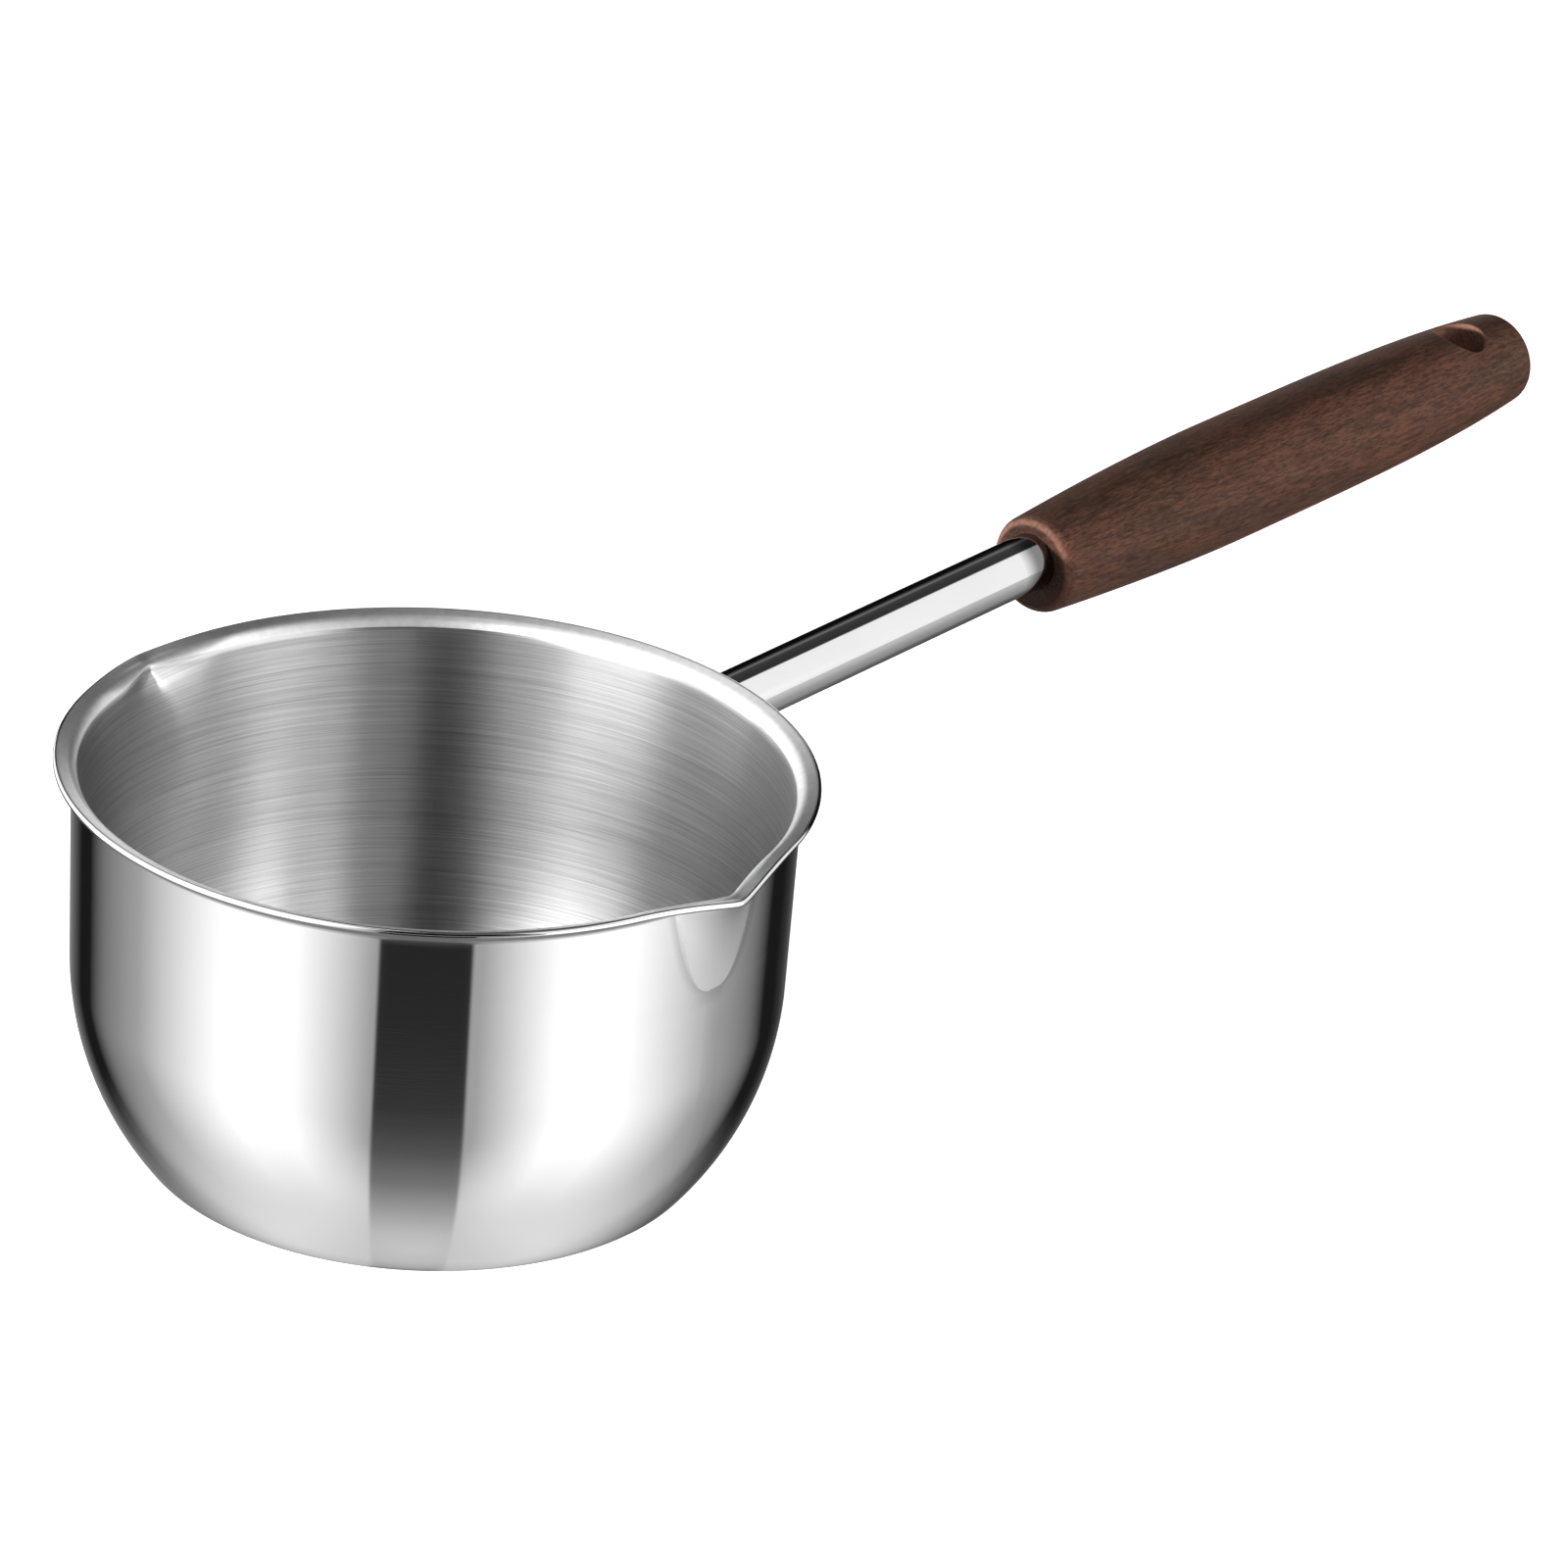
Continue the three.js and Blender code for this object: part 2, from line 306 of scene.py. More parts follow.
class Finish(NodeSet):
    """A procedural material: one Principled shader and the nodes that feed it."""

    def __init__(self, name, **settings):
        self.material = bpy.data.materials.new(name)
        self.material.use_nodes = True
        super().__init__(self.material.node_tree)
        self.shader = next(node for node in self.nodes if node.type == "BSDF_PRINCIPLED")
        for socket, value in settings.items():
            self.show(socket.replace("_", " "), value)
        self.place = self.add("ShaderNodeTexCoord").outputs["Object"]

    def show(self, socket, value):
        self.feed(self.shader, socket, value)

    def mark(self, name):
        return self.add("ShaderNodeAttribute", {"attribute_name": name}).outputs["Fac"]

    def spread(self, value, low, high):
        return self.add("ShaderNodeMapRange", Value=value, To_Min=low, To_Max=high).outputs[0]

    def bump(self, height, distance, strength):
        return self.add("ShaderNodeBump", Height=height, Distance=distance, Strength=strength).outputs[0]


steel_ior = 2.4
bowl_shade = 0.82
haze_shade = 0.97
# Painted shade: the dark grey that the steel's base colour is mixed towards at points marked as shaded.
painted_shade_grey = 0.22
unbuffed_roughness = 0.3
bend_roughness = 0.2


def mirror_finish(name, shade):
    """Buffed stainless steel: a mirror with the faint haze and fine lines that the buffing wheel leaves."""
    finish = Finish(name, Metallic=1.0, IOR=steel_ior)
    haze = finish.noise(finish.place, scale=60.0, detail=3.0)
    bright = finish.ramp(haze, (0.3, shade * haze_shade), (0.7, shade))
    # Painted shade: where the mesh marks a point as shaded, the base colour is mixed towards dark grey.
    finish.show("Base Color", finish.mix(finish.mark("painted_shade_mark"), bright, grey(painted_shade_grey)))
    dull = finish.math("MULTIPLY", finish.mark("unbuffed"), unbuffed_roughness)
    finish.show("Roughness", finish.math("ADD", finish.spread(haze, low=0.03, high=0.075), dull))
    wheel = finish.stretched_noise(finish.place, stretch=(150.0, 150.0, 5000.0), detail=2.0)
    finish.show("Normal", finish.bump(wheel, distance=0.002 * mm, strength=0.5))
    return finish.material


def satin_finish():
    """The rolled rim: the same sheet, rubbed to a soft shine that is duller where the rim bends inwards."""
    finish = Finish("satin_rim", Metallic=1.0, IOR=steel_ior)
    rub = finish.noise(finish.place, scale=900.0, detail=3.0)
    finish.show("Base Color", finish.ramp(rub, (0.3, 0.76), (0.7, 0.84)))
    worn = finish.math("MULTIPLY", finish.mark("unbuffed"), bend_roughness)
    finish.show("Roughness", finish.math("ADD", finish.spread(rub, low=0.3, high=0.35), worn))
    return finish.material


def brushed_finish():
    """Brushed stainless steel inside the bowl: fine scratches round the axis, longer ones here and there."""
    finish = Finish("brushed_inside", Metallic=1.0, IOR=steel_ior, Anisotropic=1.0, Anisotropic_Rotation=0.25)
    x, y, z = finish.split(finish.place)
    from_axis = finish.combine(x, y, 0.0)
    ring = finish.math("ADD", finish.vector("LENGTH", from_axis), z)
    turn = finish.split(finish.vector("NORMALIZE", from_axis))
    round_axis = finish.combine(turn[0], turn[1], ring)

    def scratches(length, pitch, detail):
        return finish.stretched_noise(round_axis, (length, length, pitch), detail, roughness=0.6)

    fine = scratches(length=2.6, pitch=9000.0, detail=3.0)
    coarse = scratches(length=1.8, pitch=3600.0, detail=3.0)
    mixed = finish.blend(fine, coarse, share=0.6)
    finish.show("Base Color", finish.ramp(mixed, (0.34, 0.42), (0.66, 0.74)))
    finish.show("Roughness", finish.spread(mixed, low=0.26, high=0.32))
    tangent = finish.add("ShaderNodeTangent", {"direction_type": "RADIAL", "axis": "Z"})
    finish.show("Tangent", tangent.outputs[0])
    relief = scratches(length=0.5, pitch=9000.0, detail=2.0)
    finish.show("Normal", finish.bump(relief, distance=0.003 * mm, strength=0.08))
    return finish.material


outside = sheet_face(0)
inside = sheet_face(sheet)
bowl_stations = outside + trimmed_edge() + inside[::-1]
inside_row = len(bowl_stations) - len(inside)
under_rim_row = len(outside) - bend_rows - flange_rows
dark_edge_rows = 3
under_rim_first = 0.4
under_rim_step = 0.2
# Pairs of dullness and painted shade for the foot, the creases and the pressed channels.
foot_dull_and_shade = (0.2, 0.35)
crease_dull_and_shade = (0.4, 0.3)
pressed_dull_and_shade = (1.2, 0.3)
pressed_sharpness = 6
crease_steps = 160
crease_power = 2.5

channel_crease = []
for i in range(crease_steps + 1):
    rise = (i / crease_steps) ** crease_power
    height = wall_top - channel_length * (1 - rise)
    channel_crease.append((wall_radius * pressed_width(rise, 0), height))


def dullness_and_painted_shade(row, offset, rise, height):
    """How dull the steel is left at a point of the bowl's mesh, and how much painted shade darkens it there.

    The wheel hardly gets into the spouts, the corner under the rim or the rim's inner bend, so these stay
    duller. Painted shade darkens the corner under the rim and the lower rows of its trimmed edge, the creases
    round the spouts' channels, the pressed channels themselves and the foot of the bowl.
    """
    if row >= inside_row:
        return min(1, max(0, (row - inside_row - flange_rows) / bend_rows)), 0
    if row >= len(outside) + dark_edge_rows:
        return 0, 0
    # Painted shade under the rolled rim and on the lower rows of its trimmed edge.
    if row >= under_rim_row:
        corner = min(1, under_rim_first + under_rim_step * (row - under_rim_row))
        return corner, corner
    # Painted shade at the foot of the bowl, darkest where it meets the table.
    if height < base_corner:
        return foot_dull_and_shade[0], foot_dull_and_shade[1] * (1 - height / base_corner)
    if height < wall_top - channel_length - 3 * corner_line:
        return 0, 0
    # Painted shade along the creases round the spouts' channels and over the pressed channels.
    across = wall_radius * abs(offset)
    away = min(math.hypot(across - place, height - level) for place, level in channel_crease)
    crease = math.exp(-(away / corner_line) ** 2)
    pressed = 0
    if rise > 0:
        pressed = min(1, max(0, (1 - abs(offset) / pressed_width(rise, 0)) * pressed_sharpness))
    return tuple(max(line * crease, face * pressed) for line, face in zip(crease_dull_and_shade, pressed_dull_and_shade))


bowl_rings = []
bowl_dullness_and_shade = []
for row, (point, rise, lip) in enumerate(bowl_stations):
    if point.x == 0:
        bowl_rings.append([(0, 0, point.y)])
        bowl_dullness_and_shade.append((0, 0))
        continue
    depth = sheet if row >= inside_row else 0
    ring = []
    for spout in reversed(spout_bearings):
        for offset in spout_bearing_offsets(rise, lip):
            out, down = spout_press(offset, rise, lip, depth)
            bearing = spout + offset - spout_skew * lip * (1 - abs(offset) * 2 / math.pi)
            bearing += spout_set_back * math.sin(bearing)
            radius = point.x + out
            ring.append((radius * math.cos(bearing), radius * math.sin(bearing), point.y - down))
            bowl_dullness_and_shade.append(dullness_and_painted_shade(row, offset, rise, point.y))
    bowl_rings.append(ring)
bowl_finishes = [0] * (inside_row - 1) + [1] * satin_rows
bowl_finishes += [2] * (len(bowl_rings) - 1 - len(bowl_finishes))
steel_finishes = [mirror_finish("mirror_outside", bowl_shade), satin_finish(), brushed_finish()]
pan_bowl = skin("drawn_bowl", bowl_rings, steel_finishes, bowl_finishes)
# The second mark of each point is painted shade, which the mirror finish of the outside reads.
for name, amounts in zip(("unbuffed", "painted_shade_mark"), zip(*bowl_dullness_and_shade)):
    mark_points(pan_bowl, name, amounts)
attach(pan_bowl, "root")
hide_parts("pan_bowl")

# The weld is one pass of filler run round the tube where it meets the wall, just under the rim.
# It is stainless too, left with its ripples and only brushed clean with a wire wheel.
tube_radius = 4.5 * mm
tube_rise = math.radians(1.6)
weld_leg = 2.3 * mm
weld_below_rim = 1 * mm
weld_hollow = 0.45
weld_ripples = 38
weld_ripple_height = 0.1 * mm
weld_ripple_lag = 1.8
weld_columns = 180
weld_steps = 14
cope_halvings = 40
tube_height = wall_top - weld_below_rim - tube_radius - weld_leg
handle_place = Matrix.Translation((wall_radius, 0, tube_height)) @ Matrix.Rotation(-tube_rise, 4, "Y")


def turns(columns):
    """Even turns about an axis, one for each column of a ring."""
    return [2 * math.pi * column / columns for column in range(columns)]


def on_axis(station, radius, turn):
    """A point at a station along the tube's axis, a radius from it and a turn about it."""
    return handle_place @ Vector((station, radius * math.cos(turn), radius * math.sin(turn)))


def wall_station(radius, turn):
    """The station at which a line beside the tube's axis meets the outside of the wall."""
    low, high = -tube_radius * 2, tube_radius * 2
    for _ in range(cope_halvings):
        middle = (low + high) / 2
        point = on_axis(middle, radius, turn)
        clear = math.hypot(point.x, point.y) > wall_radius_at(point.z)
        low, high = (low, middle) if clear else (middle, high)
    return (low + high) / 2


def coped_ring(radius, columns):
    """A ring about the tube's axis that lies on the curve of the wall."""
    return [on_axis(wall_station(radius, turn), radius, turn) for turn in turns(columns)]


def weld_finish():
    """Brushed weld metal: duller than the sheet, with a little straw colour left by the heat."""
    finish = Finish("wire_brushed_weld", Metallic=1.0)
    heat = finish.noise(finish.place, scale=420.0, detail=3.0)
    finish.show("Base Color", finish.ramp(heat, (0.35, (0.56, 0.55, 0.53, 1)), (0.65, (0.7, 0.69, 0.67, 1))))
    wire = finish.noise(finish.place, scale=3800.0, detail=3.0)
    finish.show("Roughness", finish.spread(wire, low=0.28, high=0.48))
    finish.show("Normal", finish.bump(wire, distance=0.03 * mm, strength=0.5))
    return finish.material


weld_rings = []
for step in range(weld_steps + 1):
    share = step / weld_steps
    hollow = math.pi / 2 * share
    swell = math.sin(math.pi * share)
    ring = []
    for turn in turns(weld_columns):
        ripple = abs(math.sin(weld_ripples * turn / 2 + weld_ripple_lag * swell)) * weld_ripple_height * swell
        reach = weld_leg * (1 - weld_hollow * math.sin(hollow) - (1 - weld_hollow) * share) + ripple
        along = weld_leg * (weld_hollow * (1 - math.cos(hollow)) + (1 - weld_hollow) * share) + ripple
        radius = tube_radius + reach
        ring.append(on_axis(wall_station(radius, turn) + along, radius, turn))
    weld_rings.append(ring)
weld_rings.append(coped_ring(tube_radius, weld_columns))
handle_weld = skin("weld_bead", weld_rings + weld_rings[:1], [weld_finish()])
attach(handle_weld, "root")
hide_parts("handle_weld")

# The handle tube is a straight length of drawn stainless tube, coped at one end to sit on the curve of the
# wall. It is buffed as bright as the bowl, and its other end runs deep into the grip. Painted shade darkens
# the last few millimetres before the grip, deepening towards it, in place of the grip's dark face mirrored
# there.
tube_wall = 0.8 * mm
tube_bore = tube_radius - tube_wall
grip_start = 85.25 * mm
tube_entry = 34 * mm
tube_end = grip_start + tube_entry
tube_end_round = 0.25 * mm
tube_cope = 2.5 * mm
tube_tail = 1 * mm
end_shade_start = 6.6 * mm
end_shade_full = 3.6 * mm
end_shade_margin = 1.2
end_shade_steps = 10
tube_columns = 96
tube_steps = 40
tube_shade = 0.84


def rod_ring(radius, station, columns):
    """A ring about the tube's axis at one station. The radius may depend on the turn about the axis."""
    return [on_axis(station, radius(turn) if callable(radius) else radius, turn) for turn in turns(columns)]


tube_run = tube_end - tube_tail - tube_cope
tube_rows = [tube_cope + tube_run * i / tube_steps for i in range(tube_steps + 1)]
tube_rows += [grip_start - end_shade_start * (end_shade_margin - i / end_shade_steps) for i in range(end_shade_steps + 1)]
tube_edges = [(tube_radius, station) for station in sorted(tube_rows)]
tube_edges += [(tube_radius, tube_end - tube_end_round), (tube_radius - tube_end_round, tube_end)]
tube_edges += [(tube_bore + tube_end_round, tube_end), (tube_bore, tube_end - tube_end_round)]
tube_edges += [(tube_bore, tube_end - tube_tail), (tube_bore, tube_cope)]
tube_rings = [coped_ring(tube_radius, tube_columns)]
tube_rings += [rod_ring(radius, station, tube_columns) for radius, station in tube_edges]
tube_rings += [coped_ring(tube_bore, tube_columns), tube_rings[0]]
handle_tube = skin("steel_tube", tube_rings, [mirror_finish("mirror_tube", tube_shade)])
to_axis = handle_place.inverted()
# Painted shade on the tube: each point gets an amount that rises from none to full over the last few
# millimetres before the grip.
end_shade_amounts = []
for point in handle_tube.data.vertices:
    clear = grip_start - (to_axis @ point.co).x
    end_shade_amounts.append(min(1, max(0, (end_shade_start - clear) / (end_shade_start - end_shade_full))))
mark_points(handle_tube, "painted_shade_mark", end_shade_amounts)
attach(handle_tube, "root")
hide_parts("handle_tube")

# The tube plug is a short turned steel bush, pressed and spot welded into the buried end of the tube.
# Its bore is tapped, so that the stud that holds the grip can be screwed into it.
plug_radius = tube_bore - 0.3 * mm
plug_bore = 2.3 * mm
plug_length = 12 * mm
plug_start = tube_end - plug_length
plug_chamfer = 0.5 * mm
plug_countersink = 0.35 * mm
plug_grooves = (3 * mm, 6 * mm, 9 * mm)
groove_depth = 0.25 * mm
groove_floor = 0.25 * mm
groove_mouth = 0.5 * mm
plug_pitch = 0.7 * mm
plug_thread = 0.3 * mm
thread_crest = 1.25
thread_flank = 3
plug_columns = 40
tapped_steps = 96
plug_shade = 0.62
plug_tint = (1, 1, 1.02)
feed_line_shade = 0.8


def thread(turn, station, pitch):
    """Height of a thread, 0 in its root and 1 on its crest, at a turn about the axis and a station on it."""
    phase = (station / pitch - turn / (2 * math.pi)) % 1
    return max(0, min(1, thread_crest - thread_flank * abs(phase - 0.5)))


def turned_finish(name, shade, tint):
    """Turned steel as it leaves the lathe: fine feed lines round the axis and a dull grey shine."""
    finish = Finish(name, Metallic=1.0)
    lines = finish.stretched_noise(finish.place, stretch=(9000.0, 200.0, 200.0), detail=2.0)
    low, high = [(*(level * part for part in tint), 1) for level in (shade * feed_line_shade, shade)]
    finish.show("Base Color", finish.ramp(lines, (0.35, low), (0.65, high)))
    finish.show("Roughness", finish.spread(lines, low=0.25, high=0.5))
    finish.show("Normal", finish.bump(lines, distance=0.01 * mm, strength=0.6))
    return finish.material


plug_edges = [(plug_radius - plug_chamfer, plug_start), (plug_radius, plug_start + plug_chamfer)]
for groove in plug_grooves:
    middle = plug_start + groove
    plug_edges += [(plug_radius, middle - groove_mouth), (plug_radius - groove_depth, middle - groove_floor)]
    plug_edges += [(plug_radius - groove_depth, middle + groove_floor), (plug_radius, middle + groove_mouth)]
plug_edges += [(plug_radius, tube_end - plug_chamfer), (plug_radius - plug_chamfer, tube_end)]
plug_rings = [rod_ring(radius, station, plug_columns) for radius, station in plug_edges]
for i in range(tapped_steps + 1):
    station = tube_end - plug_length * i / tapped_steps
    bore = plug_bore + max(0, plug_countersink - min(station - plug_start, tube_end - station))
    plug_rings.append(rod_ring(
        lambda turn: bore + plug_thread * (1 - thread(turn, station, plug_pitch)), station, plug_columns))
plug_finish = turned_finish("turned_plug", plug_shade, plug_tint)
tube_plug = skin("tapped_plug", plug_rings + plug_rings[:1], [plug_finish])
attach(tube_plug, "root")
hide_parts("tube_plug")

# The hanger stud is a steel rod with a machine thread at one end and a coarse wood thread at the other.
# The machine end turns into the plug and the pointed end into the grip, so no fixing shows outside.
stud_radius = 2 * mm
stud_in_plug = 10 * mm
stud_in_wood = 24 * mm
stud_point = 5 * mm
stud_lead = 0.8 * mm
stud_chamfer = 0.08 * mm
machine_thread = 0.36 * mm
machine_end = 0.4 * mm
wood_start = 2.4 * mm
wood_thread = 0.55 * mm
wood_pitch = 2.1 * mm
stud_columns = 32
stud_steps = 260
zinc_shade = 0.7
zinc_tint = (1, 0.98, 0.9)


def stud_radius_at(station):
    """Radius of the stud, plain or threaded, at a station counted from the end of the tube."""
    if station < machine_end:
        start = min(1, (station + stud_in_plug) / stud_lead)
        core = stud_radius - machine_thread - stud_chamfer * (1 - start)
        return lambda turn: core + machine_thread * start * thread(turn, station, plug_pitch)
    if station < wood_start:
        return stud_radius
    left = min(1, (stud_in_wood - station) / stud_point)
    return lambda turn: left * (stud_radius - wood_thread * (1 - thread(turn, station, wood_pitch)))


stud_rings = [[on_axis(tube_end - stud_in_plug, 0, 0)]]
for i in range(stud_steps):
    station = -stud_in_plug + (stud_in_plug + stud_in_wood) * i / stud_steps
    stud_rings.append(rod_ring(stud_radius_at(station), tube_end + station, stud_columns))
stud_rings.append([on_axis(tube_end + stud_in_wood, 0, 0)])
hanger_stud = skin("hanger_stud_steel", stud_rings, [turned_finish("zinc_stud", zinc_shade, zinc_tint)])
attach(hanger_stud, "root")
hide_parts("hanger_stud")

# The grip is one piece of dark hardwood, turned to a long barrel and bored from the front for the tube and
# stud. A hole is drilled across its tail to hang the pan by, and the wood is stained, oiled and rubbed to a
# satin finish. Painted shade darkens the top of the grip, and painted light brightens a ring on its front
# shoulder and the walls of the hole.
grip_length = 126.3 * mm
grip_drop = 1 * mm
grip_droop = math.radians(0.75)
grip_front = 7.8 * mm
grip_belly = 9.9 * mm
grip_belly_at = 48 * mm
grip_tail = 7.7 * mm
grip_front_power = 1.65
grip_tail_power = 3.75
grip_shoulder = 2 * mm
grip_tail_round = 1 * mm
grip_bore = 4.54 * mm
stud_bore = 2.3 * mm
bore_chamfer = 0.12 * mm
bore_entry = 1 * mm
bore_slack = 0.5 * mm
bore_point = 0.8 * mm
bore_taper = 0.98
hole_radius = 4.5 * mm
hole_from_tail = 13.4 * mm
hole_roll = math.radians(9)
hole_lip = 0.45 * mm
red_wood = ((0.060, 0.0255, 0.016, 1), (0.155, 0.066, 0.043, 1))
brown_wood = ((0.052, 0.0265, 0.018, 1), (0.135, 0.068, 0.044, 1))
# The third, lighter wood colour is painted light, laid on the front shoulder and the walls of the hanging
# hole.
painted_light_wood = ((0.11, 0.052, 0.037, 1), (0.2, 0.096, 0.069, 1))

grip_columns = 96
half_columns = grip_columns // 2
shoulder_lines = 8
barrel_lines = 60
block_lines = 14
block_columns = 13
block_length = 6.6 * mm
tail_lines = 4
tail_round_lines = 6
tail_shares = (0.9, 0.66, 0.33)
front_shares = (0.25, 0.5, 0.75)
mouth_shares = (0.22, 0.44, 0.64, 0.82, 1)
lip_steps = 6
hole_steps = 12

hole_at = grip_length - hole_from_tail
tail_start = grip_length - grip_tail_round
grip_drop_place = Matrix.Translation((grip_start, 0, -grip_drop))
grip_place = handle_place @ grip_drop_place @ Matrix.Rotation(grip_droop, 4, "Y")
hole_turn = Matrix.Rotation(hole_roll, 4, "X")
rolled = grip_place @ hole_turn


def barrel(station):
    """Radius of the turned barrel at a distance from its front face."""
    if station < grip_belly_at:
        ahead = (grip_belly_at - station) / grip_belly_at
        return grip_belly - (grip_belly - grip_front) * ahead ** grip_front_power
    behind = (station - grip_belly_at) / (grip_length - grip_belly_at)
    return grip_belly - (grip_belly - grip_tail) * behind ** grip_tail_power


shoulder_centre = Vector((grip_shoulder, barrel(grip_shoulder) - grip_shoulder))
tail_centre = Vector((tail_start, barrel(tail_start) - grip_tail_round))
grip_profile = arc(shoulder_centre, grip_shoulder, math.pi, math.pi / 2, shoulder_lines)
for start, end, lines in ((grip_shoulder, hole_at - block_length, barrel_lines),
                          (hole_at - block_length, hole_at + block_length, block_lines),
                          (hole_at + block_length, tail_start, tail_lines)):
    stations = [start + (end - start) * i / lines for i in range(1, lines + 1)]
    grip_profile += [(station, barrel(station)) for station in stations]
grip_profile += arc(tail_centre, grip_tail_round, math.pi / 2, 0, tail_round_lines)[1:]
block_first = shoulder_lines + barrel_lines
block_last = block_first + block_lines
grip_mesh = bmesh.new()


def grip_point(x, y, z):
    return grip_mesh.verts.new(rolled @ Vector((x, y, z)))


def barrel_turn(column):
    """Turn of a column about the barrel, counted from the middle of the hole's upper mouth."""
    return 2 * math.pi * column / grip_columns


def barrel_point(station, radius, column):
    turn = barrel_turn(column)
    return grip_point(station, radius * math.sin(turn), radius * math.cos(turn))


def in_block(line, column, cell):
    """Whether a cell of the mesh, or else a point, lies inside a square that holds a mouth of the hole."""
    edge = 0 if cell else 1
    if not block_first + edge <= line < block_last:
        return False
    beside_upper = (column + half_columns) % grip_columns - half_columns
    beside_lower = column % grip_columns - half_columns
    return any(edge - block_columns <= away < block_columns for away in (beside_upper, beside_lower))


def join_rings(near, far):
    """Faces between two rings of mesh points with the same count. Gives back the second ring."""
    for i in range(len(near)):
        j = (i + 1) % len(near)
        grip_mesh.faces.new((near[i], near[j], far[j], far[i]))
    return far


def close_ring(ring, middle):
    """Faces from a ring of mesh points to one point in its middle."""
    for i in range(len(ring)):
        grip_mesh.faces.new((ring[i], ring[(i + 1) % len(ring)], middle))


def ring_between(first, second, share):
    """New mesh points at a share of the way from one ring to another."""
    return [grip_mesh.verts.new(near.co.lerp(far.co, share)) for near, far in zip(first, second)]


def bore_ring(depth, radius):
    """A ring of the bore for the tube, which lies a little above the middle of the grip."""
    ring = []
    for turn in turns(grip_columns):
        spot = hole_turn @ Vector((0, radius * math.sin(turn), radius * math.cos(turn)))
        spot.x = grip_start + depth
        spot = handle_place @ spot
        if depth == 0:
            flat = grip_place.inverted() @ spot
            flat.x = 0
            spot = grip_place @ flat
        ring.append(grip_mesh.verts.new(spot))
    return ring


barrel_points = {}
for line, (station, radius) in enumerate(grip_profile):
    for column in range(grip_columns):
        if not in_block(line, column, cell=False):
            barrel_points[line, column] = barrel_point(station, radius, column)
for line in range(len(grip_profile) - 1):
    for column in range(grip_columns):
        if not in_block(line, column, cell=True):
            beside = (column + 1) % grip_columns
            grip_mesh.faces.new((barrel_points[line, column], barrel_points[line, beside],
                                 barrel_points[line + 1, beside], barrel_points[line + 1, column]))

block_edge = [(block_first, column) for column in range(-block_columns, block_columns)]
block_edge += [(line, block_columns) for line in range(block_first, block_last)]
block_edge += [(block_last, column) for column in range(block_columns, -block_columns, -1)]
block_edge += [(line, -block_columns) for line in range(block_last, block_first, -1)]
mouth_steps = [(share, 0) for share in mouth_shares]
mouth_steps += [(1, math.pi / 2 * i / lip_steps) for i in range(1, lip_steps + 1)]
hole_ends = []
for side in (1, -1):
    ring = []
    corners = []
    for line, column in block_edge:
        ring.append(barrel_points[line, (column if side == 1 else half_columns - column) % grip_columns])
        station, radius = grip_profile[line]
        corners.append((station - hole_at, radius * math.sin(barrel_turn(column))))
    for share, turn in mouth_steps:
        mouth = hole_radius + hole_lip * (1 - math.sin(turn))
        following = []
        for x, y in corners:
            spoke = math.atan2(y, x)
            x += (mouth * math.cos(spoke) - x) * share
            y += (mouth * math.sin(spoke) - y) * share
            height = math.sqrt(barrel(hole_at + x) ** 2 - y ** 2) - hole_lip * (1 - math.cos(turn))
            following.append(grip_point(hole_at + x, y, side * height))
        ring = join_rings(ring, following)
    hole_ends.append(ring)
upper, lower = hole_ends
ring = upper
for i in range(1, hole_steps):
    ring = join_rings(ring, ring_between(upper, lower, i / hole_steps))
join_rings(ring, lower)

ring = [barrel_points[len(grip_profile) - 1, column] for column in range(grip_columns)]
for share in tail_shares:
    radius = tail_centre.y * share
    ring = join_rings(ring, [barrel_point(grip_length, radius, column) for column in range(grip_columns)])
close_ring(ring, grip_point(grip_length, 0, 0))

front_ring = [barrel_points[0, column] for column in range(grip_columns)]
bore_mouth = bore_ring(0, grip_bore + bore_chamfer)
ring = front_ring
for share in front_shares:
    ring = join_rings(ring, ring_between(front_ring, bore_mouth, share))
ring = join_rings(ring, bore_mouth)
tube_seat = tube_entry + bore_slack
stud_seat = tube_entry + stud_in_wood
for depth in (bore_chamfer, bore_entry, tube_entry / 2, tube_entry, tube_seat):
    ring = join_rings(ring, bore_ring(depth, grip_bore))
for depth in (tube_seat, tube_seat + bore_slack, stud_seat):
    ring = join_rings(ring, bore_ring(depth, stud_bore))
ring = join_rings(ring, bore_ring(stud_seat + bore_slack, stud_bore * bore_taper))
close_ring(ring, grip_mesh.verts.new(on_axis(grip_start + stud_seat + bore_point, 0, 0)))
bmesh.ops.recalc_face_normals(grip_mesh, faces=grip_mesh.faces)
for face in grip_mesh.faces:
    face.smooth = True


